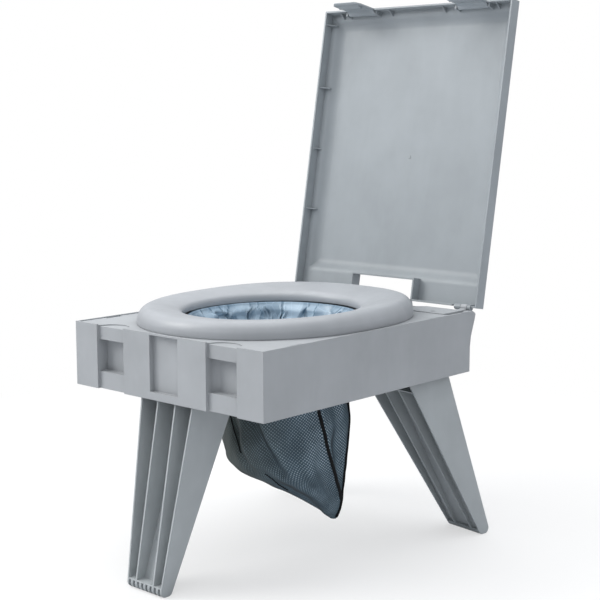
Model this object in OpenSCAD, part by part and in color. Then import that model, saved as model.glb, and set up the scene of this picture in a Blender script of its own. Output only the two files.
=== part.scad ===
// Portable folding camp toilet: a shallow moulded case on three fold-in legs,
// with a hinged seat ring, a hinged lid that closes over it, a plastic waste
// liner held at the seat opening and a hanging mesh bag around it.
// It is set up for use: legs out, lid open, seat down.
// Front is -Y and right is +X. Local heights are counted from the case's top edge;
// place() lifts them so that z = 0 is the floor, and centres the footprint on the origin.

/* [Case] */
// Width of the case across X
case_w = 394; // [390:1:400]
// Depth of the case along Y
case_d = 483; // [481:1:485]
// Height of the case
case_h = 98; // [96:1:100]
// Thickness of the case's side walls
wall = 3.5; // [3:0.5:4]
// Height of the case's top edge above the floor
seat_plane_h = 372; // [372:1:372]

/* [Lid] */
// Depth of the lid at its rim
lid_h = 21; // [21:0.5:23]
// Height of the raised middle of the lid above its border
lid_rise = 12.2; // [12:0.1:14]
// Thickness of the lid's panel
lid_panel = 2.7; // [2.5:0.1:3]
// Thickness of the lid's rim
lid_rim = 3; // [2.5:0.5:3]
// How far past upright the open lid leans
lid_lean = 9.85; // [5:0.05:12]

/* [Seat] */
// Width of the seat ring
seat_w = 377; // [370:1:378]
// Height of the seat ring's crest above the case's top edge
seat_crest = 24; // [23:0.5:24]
// How much higher the crest stands at the back of the seat ring
seat_slope = 5.5; // [5:0.5:5.5]

/* [Legs] */
// Width of a leg at its head
leg_head_w = 109; // [105:1:109]
// Width of a leg at its foot
leg_foot_w = 72; // [68:1:74]
// Thickness of the legs' ribs and walls
leg_rib = 2.8; // [2.4:0.2:3.2]
// Radius of the legs' pivot pins
leg_pin_r = 5; // [4:0.5:5]
// Extra outward lean of the rear legs
rear_lean = 7.65; // [7:0.05:8]
// Turn of the rear legs towards their corners
rear_turn = 9; // [8:0.5:10]

/* [Bag] */
// Lowest point of the mesh bag below the case's top edge
bag_drop = 329; // [300:1:340]

/* [Hidden] */
$fn = 48;

// Case
footprint_y = 41.783;                // middle of the footprint in local y
half_w = case_w / 2;
front_y = -241.8;
rear_y = front_y + case_d;
deck_top = -1.5;
deck_under = -4.5;
rail_seat = [190, 190];              // half width and front edge of the hinge rail's seat
rail_screw_x = [-150, -60, 60, 150];
rail_screw_y = 203;

// Hinges and latches; every axis runs along X and is given as [y, z]
lid_axis = [258.5, 2.5];
lid_knuckle = [168.3, 179.7];        // x range of the rail's lid knuckle
knuckle_gap = [167.7, 180.3];        // x range left free for it in the lid
seat_axis = [221, 6.5];
arm_x = 80;                          // middle of each seat hinge arm
arm_screw_y = 172;
latch_x = 117;                       // middle of each latch and its channel
latch_axis = [-235.6, 10];           // with the lid closed

// Lid, closed
lid_open = 90 + lid_lean;
lid_rear_y = lid_axis[0];
lid_low = 0.3;
lid_top = lid_low + lid_h;
panel_under = lid_top - lid_panel;

// Legs
leg_z = -53;                         // height of every leg pivot
leg_drop = seat_plane_h + leg_z;     // pivot height above the floor
front_pivot = [0, -185];
rear_pivot = [124, 147];
rear_long = 1.045;                   // stretch of the rear legs
rear_foot_x = -35.5;                 // sideways shift of a rear foot in the leg's frame
taper_z = -50;                       // below this a leg narrows
rib_x = 18.2;                        // middle of a leg's inner ribs
leg_cut_z = -leg_drop - 5;           // lower end of the leg's width outlines
cut_half = leg_head_w / 2 - (leg_head_w - leg_foot_w) / 2
    * (taper_z - leg_cut_z) / (taper_z + leg_drop);
cheek_in = 55.2;                     // inner face of a pivot bracket's cheek
cheek_t = 4;
spring_screw_y = -27;                // in the leg's frame

grey_case = [0.69, 0.71, 0.74];
grey_lid = [0.67, 0.70, 0.72];
grey_seat = [0.80, 0.81, 0.83];
grey_leg = [0.61, 0.63, 0.64];
steel = [0.62, 0.63, 0.65];

// ---------------------------------------------------------------- helpers
module place() translate([0, -footprint_y, seat_plane_h]) children();

// A box from its lowest and highest corners
module box(low, high) translate(low) cube(high - low);

// A profile given as (y, z), swept along X from x0 to x1
module sweep_x(x0, x1)
    translate([x0, 0, 0]) rotate([90, 0, 90]) linear_extrude(height = x1 - x0) children();

// A profile given as (x, z), swept along Y and centred on y = 0
module sweep_y(length)
    rotate([90, 0, 0]) linear_extrude(height = length, center = true) children();

// A cylinder along X round the axis [y, z]
module rod_x(axis, r, x0, x1)
    translate([x0, axis[0], axis[1]]) rotate([0, 90, 0]) cylinder(r = r, h = x1 - x0);

module both_sides() {
    children();
    mirror([1, 0, 0]) children();
}

// An oval is [half width, middle y, front length, rear length, squareness]
function signed_pow(v, square) = sign(v) * pow(abs(v), 2 / square);
function oval_pt(angle, oval) = let (s = sin(angle), reach = s < 0 ? oval[2] : oval[3])
    [oval[0] * signed_pow(cos(angle), oval[4]), oval[1] + reach * signed_pow(s, oval[4])];
function outline(oval, count) = [for (i = [0:count - 1]) oval_pt(360 * i / count, oval)];

// The opening in the deck, grown outwards
mouth_square = 2.15;
function mouth(grow) = [124 + grow, -12.5, 125.5 + grow, 134 + grow, mouth_square];

// A closed skin through rings of equal length; closed joins the last ring to the first
module loft(rings, closed = false) {
    size = len(rings[0]);
    count = len(rings);
    points = [for (ring = rings) for (p = ring) p];
    sides = [
        for (j = [0:(closed ? count - 1 : count - 2)]) for (i = [0:size - 1])
            let (this = j * size, other = ((j + 1) % count) * size, next = (i + 1) % size)
            each [[this + i, this + next, other + next], [this + i, other + next, other + i]]
    ];
    caps = closed ? [] : [
        [for (i = [size - 1:-1:0]) i],
        [for (i = [0:size - 1]) (count - 1) * size + i]
    ];
    polyhedron(points = points, faces = concat(sides, caps), convexity = 8);
}

// An eight-sided tube that follows an oval at height z, in count steps
function tube_section(p, q, half_t, half_h, z) = let (along = unit(q - p))
    [for (j = [0:7]) [
        p[0] + along[1] * half_t * cos(45 * j),
        p[1] - along[0] * half_t * cos(45 * j),
        z + half_h * sin(45 * j)
    ]];
module oval_tube(oval, count, half_t, half_h, z) loft([
    for (i = [0:count - 1]) let (angle = 360 * i / count)
        tube_section(oval_pt(angle, oval), oval_pt(angle + 1, oval), half_t, half_h, z)
], closed = true);

function unit(v) = v / norm(v);
function reverse(list) = [for (i = [len(list) - 1:-1:0]) list[i]];
function turned(p, angle) =
    [p[0] * cos(angle) - p[1] * sin(angle), p[0] * sin(angle) + p[1] * cos(angle)];
// The point of line p-q at height z, and its point nearest the origin
function at_z(p, q, z) = [p[0] + (q[0] - p[0]) * (z - p[1]) / (q[1] - p[1]), z];
function nearest(p, q) = let (along = unit(q - p)) p - along * (p * along);

// Arc of radius r that rounds a corner between its neighbours
function rounded(before, corner, after, r, steps = 8) = let (
        u = unit(before - corner),
        v = unit(after - corner),
        half = acos(u * v) / 2,
        reach = r / tan(half),
        centre = corner + unit(u + v) * r / sin(half),
        first = corner + u * reach - centre,
        last = corner + v * reach - centre,
        start = atan2(first[1], first[0]),
        sweep = ((atan2(last[1], last[0]) - start + 540) % 360) - 180
    )
    [for (i = [0:steps]) let (angle = start + sweep * i / steps)
        centre + r * [cos(angle), sin(angle)]];

// ---------------------------------------------------------------- legs
// A leg's own frame: pivot along X at the origin, outward is -Y.
// lean adds outward lean, side moves the foot sideways, long stretches the leg.
function leg_pt(y, z, lean, long) = turned([y, z * long], -lean);
function leg_shift(z, side) = side * (-z - 46) / (leg_drop - 46);
function toe_edge(lean, long) = [leg_pt(-52.6, -50, lean, long), leg_pt(-99.3, -301, lean, long)];

module leg_profile(lean, long) {
    outer = toe_edge(lean, long);
    inner = [leg_pt(21, -74, lean, long), leg_pt(-78, -311.5, lean, long)];
    toe = at_z(outer[0], outer[1], -leg_drop);
    heel = at_z(inner[0], inner[1], -leg_drop);
    head_out = nearest(outer[0], outer[1]);
    head_in = nearest(inner[0], inner[1]);
    polygon(concat(
        [head_out],
        rounded(head_out, toe, heel, 9),
        rounded(toe, heel, head_in, 7),
        [head_in, [41, 9]]
    ));
    circle(r = 42.2, $fn = 96);
}

// What stays between the ribs: middle web, pivot hub, sole block and a cross rib
module leg_core(lean, long, sole_top) {
    web_top = leg_pt(4.8, -40, lean, long);
    web_low = leg_pt(-85, -306, lean, long) - [3, 9];
    web_t = [leg_rib, 0];
    polygon([web_top, web_low, web_low + web_t, web_top + web_t]);
    polygon([[-1.4, 0], [1.4, 0], web_top + web_t, web_top + [0, -0.5]]);
    circle(r = 10);
    polygon([[-240, sole_top], [-30, sole_top], [-30, -leg_drop - 30], [-240, -leg_drop - 30]]);
    polygon([
        for (p = [[5.5, -58], [60, -58], [60, -60.4], [4.5, -60.4]]) leg_pt(p[0], p[1], lean, long)
    ]);
}

// A hollow between two upright walls; left and right are [x at the head, x at the foot]
function leg_bay(left, right, side) = let (
        taper = leg_shift(taper_z, side),
        foot = leg_shift(leg_cut_z, side)
    )
    [[left[0], 49], [right[0], 49], [right[0] + taper, taper_z],
    [right[1] + foot, leg_cut_z], [left[1] + foot, leg_cut_z], [left[0] + taper, taper_z]];

module leg(lean = 0, side = 0, long = 1, sole_top = -304) {
    head = leg_head_w / 2;
    cut_x = leg_shift(leg_cut_z, side);
    rib_in = [1, 1] * (rib_x - leg_rib / 2);
    rib_out = [1, 1] * (rib_x + leg_rib / 2);
    wall_in = [head - leg_rib, leg_foot_w / 2 - leg_rib];
    toe_y = toe_edge(lean, long)[1][0];
    grooves = 8;
    groove_w = 4.2;
    pitch = leg_foot_w / grooves;
    difference() {
        intersection() {
            sweep_x(-140, 140) leg_profile(lean, long);
            sweep_y(600) polygon([
                [-head, 50], [head, 50], [head, -48],
                [cut_half + cut_x, leg_cut_z], [-cut_half + cut_x, leg_cut_z], [-head, -48]
            ]);
        }
        intersection() {
            sweep_x(-139, 139) difference() {
                translate([-300, -400]) square([600, 500]);
                leg_core(lean, long, sole_top);
            }
            sweep_y(598) {
                polygon(leg_bay(-rib_in, rib_in, side));
                polygon(leg_bay(rib_out, wall_in, side));
                polygon(leg_bay(-wall_in, -rib_out, side));
            }
        }
        // pivot bore
        rod_x([0, 0], leg_pin_r + 0.05, -60, 60);
        // room for the front wall's recess
        box([-35, -75, -46], [35, -45, 10]);
        // notch for the holding spring's nose, in the inner ribs
        rod_x([0, 43.6], 3.2, -30, 30);
        // tread grooves up the toe and along the sole
        for (i = [0:grooves - 1])
            translate([side - leg_foot_w / 2 + pitch * (i + 0.5) - groove_w / 2, 0, 0]) {
                box([0, toe_y - 20, -leg_drop - 10], [groove_w, toe_y + 3, -leg_drop + 13]);
                box([0, toe_y - 20, -leg_drop - 10], [groove_w, toe_y + 40, -leg_drop + 2]);
            }
    }
}
module rear_leg() leg(rear_lean, rear_foot_x, rear_long, -310.5);

// Leg frames inside the case's frame
module front_frame(z = leg_z) translate(concat(front_pivot, z)) children();
module rear_frame(z = leg_z)
    translate(concat(rear_pivot, z)) rotate([0, 0, 180 - rear_turn]) children();

// Leg frames above the floor
module at_front() place() front_frame() children();
module at_rear_right() place() rear_frame() children();
module at_rear_left() mirror([1, 0, 0]) at_rear_right() children();

module leg_pin() {
    half = 59.4;
    rod_x([0, 0], leg_pin_r, -half, half);
    rod_x([0, 0], leg_pin_r + 1.8, half, half + 1.6);
}

// Bent strip, given as (y, z), whose nose drops into the leg's notch
spring_profile = [
    [-34.5, 48.3], [-34.5, 47.5], [-16, 47.5], [-3.4, 42.6], [-2, 41.6], [0, 41.2],
    [2, 41.6], [3.4, 42.6], [8, 45], [7.6, 45.7], [3.2, 43.5], [1.8, 42.4],
    [0, 42], [-1.8, 42.4], [-3.2, 43.5], [-15.8, 48.3]
];
module leg_spring() difference() {
    sweep_x(-22, 22) polygon(spring_profile);
    translate([0, spring_screw_y, 40]) cylinder(r = 2.1, h = 12);
}
module spring_screw() translate([0, spring_screw_y, 45.5]) {
    cylinder(r = 3.8, h = 1.98);
    cylinder(r = 1.95, h = 5.4);
}

// Two cheeks that hold a leg's pin; stop is the distance from the pivot out to
// a wall that joins them, or 0 for none
module leg_bracket(stop) {
    stop_t = 3;
    cheek_out = cheek_in + cheek_t;
    for (x = [-cheek_out, cheek_in]) difference() {
        union() {
            box([x, -14, 0], [x + cheek_t, 14, 50]);
            rod_x([0, 0], 14, x, x + cheek_t);
            if (stop > 0) box([x, -stop - stop_t, 0], [x + cheek_t, 0, 50]);
        }
        rod_x([0, 0], leg_pin_r + 0.02, -70, 70);
    }
    if (stop > 0) box([-cheek_out, -stop - stop_t, -40], [cheek_out, -stop, 50]);
}

// ---------------------------------------------------------------- case
module channel_block() {
    box([latch_x - 33, front_y, -case_h], [latch_x + 33, -233.8, deck_top]);
    box([latch_x - 33, front_y, -75.5], [latch_x + 33, -219.3, -19.5]);
}
module channel_cut() {
    box([latch_x - 30, front_y - 1, -case_h - 1], [latch_x + 30, -236.8, 1]);
    // finger pocket, its rear corner nearer the case's middle rounded
    difference() {
        box([latch_x - 30, -237, -72], [latch_x + 30, -221.8, -23]);
        difference() {
            box([latch_x - 31, -232, -73], [latch_x - 20, -221, -22]);
            translate([latch_x - 20, -231.8, -80]) cylinder(r = 10, h = 70);
        }
    }
    // shallow scoop in the deck's edge
    translate([latch_x - 0.5, front_y, deck_top - 1.6]) cylinder(r = 29, h = 5, $fn = 64);
}
module rear_ear() sweep_x(187, half_w) polygon(concat(
    [[232, -62], [241, -58], [243.8, -40], [252.8, -15]],
    rounded([252.8, -15], [255.6, -5], [247, 0], 3.5, 5),
    rounded([255.6, -5], [247, 0], [232, 0], 4, 5),
    [[232, 0]]
));
// Cut at the middle of the rear edge, through deck and hinge rail
notch_half = 112;
module hand_notch() translate([0, 0, -14]) linear_extrude(height = 20)
    polygon([[-97, 229], [97, 229], [notch_half, 243], [-notch_half, 243]]);

// Everything of the case before openings are cut
module case_body() {
    difference() {
        box([-half_w, front_y, -case_h], [half_w, rear_y, 0]);
        box([-half_w + wall, front_y + wall, -case_h - 1],
            [half_w - wall, rear_y - wall, deck_under]);
        box([-half_w + 3, front_y + 3, deck_top], [half_w - 3, rear_y - 3, 1]);
        // seat for the hinge rail, open to the rear
        box([-rail_seat[0], rail_seat[1], deck_under], [rail_seat[0], rear_y + 1, 1]);
    }
    // ledge under the hinge rail
    box([-half_w + 1, 186, -7.5], [half_w - 1, rear_y, deck_under]);
    both_sides() channel_block();
    // block behind the middle recess
    box([-32.5, front_y, -89.5], [32.5, -230.8, deck_top]);
    both_sides() rear_ear();
    // grip bar across the rear hand notch
    sweep_x(-notch_half, notch_half) polygon([
        [229, -18], [233, -14], [rear_y, -14], [rear_y, -34], [233, -34], [229, -30]
    ]);
    // raised lip round the opening, inside the seat ring
    translate([0, 0, deck_under]) linear_extrude(height = 7) polygon(outline(mouth(3), 72));
    front_frame() leg_bracket(0);
    both_sides() rear_frame() leg_bracket(58.1);
    // rest pads for the front leg
    both_sides() box([48, front_y + 1, -case_h], [56, front_y + 4.8, -88]);
    // stiffening ribs under the deck, outside the legs' paths
    both_sides() box([half_w - wall - 6, -210, -12], [half_w - wall + 1, 86, deck_under + 1]);
}

module case_shell() color(grey_case) place() difference() {
    union() case_body();
    // clear the rail's seat of the added parts
    box([-rail_seat[0], rail_seat[1], deck_under], [rail_seat[0], rear_y + 1, -0.5]);
    // opening
    translate([0, 0, -20]) linear_extrude(height = 40) polygon(outline(mouth(0), 72));
    both_sides() channel_cut();
    // middle recess of the front face
    box([-29.5, front_y - 1, -86.5], [29.5, -233.8, -3]);
    hand_notch();
    // small slots in the side edges, one near the front and one near the rear
    both_sides() for (y = [[-187, -156], [134, 171]]) box([188, y[0], -3], [195, y[1], 1]);
    // pilot holes for the rail screws, the springs and the hooks
    for (x = rail_screw_x) translate([x, rail_screw_y, -9]) cylinder(r = 2.05, h = 12);
    front_frame(deck_under - 1) translate([0, spring_screw_y, 0]) cylinder(r = 2, h = 3.6);
    both_sides() rear_frame(-9) translate([0, spring_screw_y, 0]) cylinder(r = 2, h = 7.1);
    at_hooks() translate([0, hook_screw_y, deck_under - 1]) cylinder(r = 1.5, h = 3.4);
}

// ---------------------------------------------------------------- hinge rail
module hinge_rail() color(grey_case) place() difference() {
    union() {
        difference() {
            box([-181.7, 190.3, deck_under], [181.7, rear_y - 0.2, 0]);
            hand_notch();
        }
        both_sides() {
            // lid hinge knuckle and its lug
            sweep_x(lid_knuckle[0], lid_knuckle[1]) polygon([
                [236, deck_under], [236, 0], [251, 0], lid_axis, [262, -1], [259, deck_under]
            ]);
            rod_x(lid_axis, 5, lid_knuckle[0], lid_knuckle[1]);
            // two ears for each seat hinge arm
            for (x = [arm_x - 11.6, arm_x + 7.6]) {
                rod_x(seat_axis, 5.5, x, x + 4);
                sweep_x(x, x + 4) polygon([[213, -1], [215.6, 6.5], [226.4, 6.5], [228.4, -1]]);
            }
        }
    }
    both_sides() {
        rod_x(lid_axis, 1.77, 160, 190);
        rod_x(seat_axis, 2.52, arm_x - 20, arm_x + 20);
    }
    for (x = rail_screw_x) translate([x, rail_screw_y, -6]) {
        cylinder(r = 2.2, h = 12);
        translate([0, 0, 4]) cylinder(r = 4.2, h = 5);
    }
}
// Cross-slotted screws
module rail_screws() color(steel) place()
    for (x = rail_screw_x) translate([x, rail_screw_y, 0]) difference() {
        union() {
            translate([0, 0, -1.98]) cylinder(r = 3.9, h = 1.8);
            translate([0, 0, -8.6]) cylinder(r = 1.98, h = 7);
        }
        for (a = [0, 90]) rotate([0, 0, a]) box([-2.2, -0.45, -1.1], [2.2, 0.45, 1]);
    }
module lid_hinge_pins() color(steel) place() both_sides() {
    rod_x(lid_axis, 1.75, 155.2, 187.6);
    rod_x(lid_axis, 3, 154, 155.3);
}

// ---------------------------------------------------------------- lid
// Turns parts drawn with the lid closed to its open place
module open_lid() place() translate([0, lid_axis[0], lid_axis[1]]) rotate([-lid_open, 0, 0])
    translate([0, -lid_axis[0], -lid_axis[1]]) children();

// Web between the side rim and the border; reach is its width on the border
module lid_gusset(y, reach) {
    inner = half_w - lid_rim;
    translate([0, y, 0]) sweep_y(2) polygon([
        [inner + 0.5, 4],
        [inner, 4],
        [inner - reach, panel_under - 0.5],
        [inner - reach, max(panel_under + 0.6, panel_under + reach - 5.5)],
        [187, lid_top - 1.2],
        [inner + 0.5, lid_top - 1.2]
    ]);
}

// One rounded 45 degree flank of the raised middle, rising from the border at height z.
// edge is its distance from 0, skin its thickness, way the side of 0 (-1 or 1).
offset_45 = 0.414;                   // sideways growth of a 45 degree corner per skin thickness
function flank(edge, z, skin, way) = let (
        low = [edge + skin * offset_45, z],
        high = [low[0] - lid_rise, z + lid_rise],
        path = concat(
            [low + [7, -3]],
            rounded(low + [20, 0], low, high, 13 - skin, 5),
            rounded(low, high, [0, high[1]], 18 + skin, 5)
        )
    )
    [for (p = path) [way * p[0], p[1]]];
function plateau(low_edge, high_edge, z, skin) =
    concat(flank(low_edge, z, skin, -1), reverse(flank(high_edge, z, skin, 1)));
module lid_plateau(z, skin) intersection() {
    sweep_x(-half_w, half_w) polygon(plateau(229, 219, z, skin));
    sweep_y(600) polygon(plateau(187, 187, z, skin));
}

module lid_body() {
    difference() {
        union() {
            box([-half_w, front_y, lid_low], [half_w, lid_rear_y, lid_top]);
            lid_plateau(lid_top, lid_panel);
        }
        box([-half_w + lid_rim, front_y + lid_rim, lid_low - 1],
            [half_w - lid_rim, lid_rear_y - lid_rim, panel_under]);
        lid_plateau(panel_under, 0);
    }
    // rim round the hand notch
    box([-67.5, 219.7, lid_low], [67.5, lid_rear_y, lid_top]);
    // rim gussets down both sides and ribs on the free edge
    both_sides() for (g = [[-219, 12], [-106, 12], [113, 12], [4, 7]]) lid_gusset(g[0], g[1]);
    for (x = [-166, -57, 56, 163]) translate([x, front_y + lid_rim, 0]) sweep_x(-1, 1)
        polygon([[-0.5, 4], [0, 4], [9, panel_under + 0.1], [-0.5, panel_under + 0.1]]);
    // mark left by the mould gate under the raised middle
    translate([6, 13, panel_under + lid_rise - 0.7]) cylinder(r = 2.6, h = 1);
    both_sides() {
        // ears that hold the latch pin
        for (x = [latch_x - 34.8, latch_x + 30.8]) sweep_x(x, x + 4)
            polygon([[front_y + 1, 5], [-232, 5], [-230, lid_top - 1], [front_y + 1, lid_top - 1]]);
        // hinge knuckles
        for (k = [[156, knuckle_gap[0]], [knuckle_gap[1], 186.6]]) {
            rod_x(lid_axis, 5, k[0], k[1]);
            box([k[0], lid_axis[0] - 5, lid_axis[1]], [k[1], lid_axis[0], 12]);
        }
    }
}

module lid_shell() color(grey_lid) open_lid() difference() {
    union() lid_body();
    // hand notch through panel and rim
    box([-64.5, 222.7, lid_low - 1], [64.5, lid_rear_y + 1, lid_top + 6]);
    both_sides() {
        // cut-out of the free edge for the latch
        box([latch_x - 30, front_y - 1, lid_low - 1], [latch_x + 30, front_y + lid_rim + 0.01, 17]);
        // latch pin bore
        rod_x(latch_axis, 2.02, 80, 153);
        // room for the rail's knuckle
        rod_x(lid_axis, 5.8, knuckle_gap[0], knuckle_gap[1]);
        box([knuckle_gap[0], 250, -2], [knuckle_gap[1], lid_rear_y + 1, lid_axis[1]]);
        // hinge pin bore and room for its head
        rod_x(lid_axis, 1.82, 150, 192);
        box([150, lid_axis[0] - 6, lid_axis[1] - 3.4], [156, lid_rear_y + 4, lid_axis[1] + 3.4]);
    }
}

// ---------------------------------------------------------------- latches
latch_half = 29.4;
// Side profile (y, z), and front outline (x, z) with rounded lower corners
latch_profile = [
    [front_y, 13], [front_y + 1.2, 15], [front_y + 3.4, 15.3], [-234, 14.2],
    [-231.7, 11.8], [-231.5, 9], [-233, 6.6], [-236.4, 4], [front_y + 3, -1],
    [front_y + 3, -42], [front_y + 0.5, -45.5], [front_y - 0.6, -45], [front_y, -40]
];
latch_corners = [[latch_half, 25], [latch_half, -46], [-latch_half, -46], [-latch_half, 25]];
latch_outline = concat(
    [latch_corners[3], latch_corners[0]],
    rounded(latch_corners[0], latch_corners[1], latch_corners[2], 13),
    rounded(latch_corners[1], latch_corners[2], latch_corners[3], 13)
);

module latch() difference() {
    union() {
        intersection() {
            sweep_x(latch_x - latch_half, latch_x + latch_half) polygon(latch_profile);
            translate([latch_x, -230, 0]) rotate([90, 0, 0]) linear_extrude(height = 20)
                polygon(latch_outline);
        }
        // catch bead that snaps under the top of the finger pocket
        sweep_x(latch_x - 24, latch_x + 24) polygon([
            [front_y + 2.9, -24], [front_y + 6.2, -25.2], [front_y + 6.4, -27], [front_y + 2.9, -34]
        ]);
    }
    rod_x(latch_axis, 2.06, 80, 155);
}
module latch_left() color(grey_lid) open_lid() mirror([1, 0, 0]) latch();
module latch_right() color(grey_lid) open_lid() latch();
module latch_pins() color(steel) open_lid() both_sides()
    rod_x(latch_axis, 2, latch_x - 34.4, latch_x + 34.4);

// ---------------------------------------------------------------- seat
// Section of the ring: [distance, height, from]; from is 1 for millimetres in from the outer
// edge, -1 for millimetres out from the inner edge and 0 for a share of the ring's width
seat_top = [
    [0.3, 4.5, -1], [0, 8, -1], [0.6, 11.6, -1], [2.6, 14.4, -1], [6, 16.4, -1], [11, 18, -1],
    [0.32, 20.3, 0], [0.5, 22.4, 0],
    [24, 23.7, 1], [19, 24, 1], [14, 23.3, 1], [9.5, 21.4, 1], [6, 18.6, 1], [3.2, 15, 1],
    [1.2, 10, 1], [0.4, 5, 1], [0, 0, 1]
];
seat_under = [
    [2.2, 0, 1], [3, 6, 1], [4.2, 10.5, 1], [6.8, 14.8, 1], [9.8, 17.6, 1], [14, 19.6, 1],
    [19.5, 20.8, 1], [25, 20.6, 1],
    [0.5, 19.2, 0], [0.32, 17.2, 0],
    [12.5, 15, -1], [8, 13.4, -1], [5, 11.4, -1], [3.4, 8.6, -1], [3, 4.5, -1]
];
seat_inner = [127.5, -12, 146, 143, 2.1];
function seat_outer(angle) = [seat_w / 2, -10, 222, 228, sin(angle) < 0 ? 2.1 : 2.45];

// Heights grow with the crest towards the back; the outer edge lifts before the hinge
function seat_z(y, z) = z > 0
    ? z * (seat_crest + seat_slope * (y + 210) / 400) / 24
    : -1.3 + 1.6 * min(1, max(0, (y - 176) / 12));
function seat_pt(angle, p) = let (
        inner = oval_pt(angle, seat_inner),
        across = oval_pt(angle, seat_outer(angle)) - inner,
        width = norm(across),
        share = p[2] == 0 ? p[0] : p[2] > 0 ? 1 - p[0] / width : p[0] / width,
        at = inner + across * share
    )
    [at[0], at[1], seat_z(at[1], p[1])];

module seat_ring() color(grey_seat) place() difference() {
    loft([
        for (i = [0:71]) [for (p = concat(seat_top, seat_under)) seat_pt(5 * i, p)]
    ], closed = true);
    // room for the hinge arms
    both_sides() box([arm_x - 8.4, 180, -2], [arm_x + 8.4, 221, 12.6]);
    // pilot holes for the arm screws
    both_sides() translate([arm_x, arm_screw_y, 15]) cylinder(r = 1.74, h = seat_crest - 12.3);
}
module seat_hinge_arms() color(grey_seat) place() both_sides() difference() {
    union() {
        sweep_x(arm_x - 7.4, arm_x + 7.4) polygon([
            [164, seat_crest - 0.7], [164, seat_crest - 4.5], [194, 2.2], [seat_axis[0], 1.2],
            [seat_axis[0] + 3, 6.5], [seat_axis[0], 11.8], [197, 12.2], [190, seat_crest - 3.2],
            [184, seat_crest - 0.3], [178, seat_crest + 0.5], [172, seat_crest]
        ]);
        rod_x(seat_axis, 5.4, arm_x - 7.4, arm_x + 7.4);
    }
    rod_x(seat_axis, 2.56, arm_x - 20, arm_x + 20);
    translate([arm_x, arm_screw_y, 0]) {
        cylinder(r = 1.9, h = 30);
        cylinder(r = 3.9, h = seat_crest - 4.4);
    }
}
// Slotted screws, driven from below
module seat_arm_screws() color(steel) place() both_sides()
    translate([arm_x, arm_screw_y, seat_crest - 6.2]) difference() {
        union() {
            cylinder(r = 3.6, h = 1.7);
            cylinder(r = 1.7, h = 8.6);
        }
        box([-2, -0.4, -0.5], [2, 0.4, 0.9]);
    }
module seat_hinge_pins() color(steel) place() both_sides()
    rod_x(seat_axis, 2.5, arm_x - 12.2, arm_x + 12.2);

// Rubber pads under the seat ring that rest on the deck: [x, y, turn, top]
bumpers = [[125, -120, -41, 18.4], [125, 106, 43, 20.6]];
module seat_bumpers() color([0.25, 0.26, 0.27]) place() both_sides()
    for (b = bumpers) translate([b[0], b[1], 0]) rotate([0, 0, b[2]]) difference() {
        union() {
            box([-4, -10, deck_top], [4, 10, b[3]]);
            for (y = [-10, 10]) translate([0, y, deck_top]) cylinder(r = 4, h = b[3] - deck_top);
        }
        translate([0, 0, deck_top - 1]) cylinder(r = 1.8, h = 13);
    }

// ---------------------------------------------------------------- bag and liner
// Hooks under the deck: [x, y, turn]; in a hook's frame the screw is on the outward side, +Y
hooks = [[52, 114, 0], [-52, 114, 0], [66, -127, 180], [-66, -127, 180]];
hook_screw_y = 8;
module at_hooks() for (h = hooks) translate([h[0], h[1], 0]) rotate([0, 0, h[2]]) children();

module bag_hooks() color([0.2, 0.2, 0.21]) place() at_hooks() difference() {
    union() {
        box([-5, 3.4, -6.4], [5, 12, deck_under]);
        box([-2.6, 3.4, -19], [2.6, 5.6, -6]);
        box([-2.6, -5.2, -19], [2.6, 5.6, -17]);
        box([-2.6, -5.2, -19], [2.6, -3.8, -14.5]);
    }
    translate([0, hook_screw_y, -10]) cylinder(r = 1.6, h = 10);
}
module hook_screws() color(steel) place() at_hooks() translate([0, hook_screw_y, -8]) {
    cylinder(r = 2.3, h = 1.56);
    cylinder(r = 1.45, h = 5.8);
}

// Sections of the hanging bag: [height, centre x, centre y, half width, half length];
// the heights of the lower part follow bag_drop
deep = bag_drop / 329;
bag_sections = [
    [-8.5, 0, -9.5, 129, 130.3], [-16, 0, -9.5, 128, 129.3], [-30, 1, -8, 115, 117],
    [-60, 5, -3, 108, 110], [-98, 12, 4, 101, 102],
    [-140 * deep, 15, 12, 96, 95], [-172 * deep, 12, 11, 99, 97], [-200 * deep, 10, 9, 99, 97],
    [-226 * deep, 12, 11, 93, 90], [-246 * deep, 20, 18, 80, 76], [-264 * deep, 31, 28, 62, 59],
    [-282 * deep, 43, 39, 43, 42], [-300 * deep, 54, 49, 28, 28], [-316 * deep, 62, 56, 15, 16],
    [-329 * deep, 66, 60, 5, 6]
];
bag_count = len(bag_sections);
ring_points = 40;
function bag_ring(i, inset, lift = 0) = let (
        s = bag_sections[i],
        half_x = max(1, s[3] - inset),
        half_y = max(1, s[4] - inset)
    )
    [for (p = outline([half_x, s[2], half_y, half_y, mouth_square], ring_points))
        [p[0] + s[1], p[1], s[0] + lift]];

module mesh_bag() color([0.24, 0.29, 0.31]) place() difference() {
    // up the outside, then down the inside
    loft(concat(
        [for (i = [bag_count - 1:-1:0]) bag_ring(i, 0)],
        [for (i = [0:bag_count - 2]) bag_ring(i, 1.5)]
    ));
    // gaps in the hem where the cord passes over the hooks
    at_hooks() box([-6, -9, -22], [6, 8, -5]);
}
module bag_cord() color([0.08, 0.08, 0.09]) place()
    oval_tube([131, -9.5, 132.6, 132.3, mouth_square], 60, 1.7, 1.7, -13.2);

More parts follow.
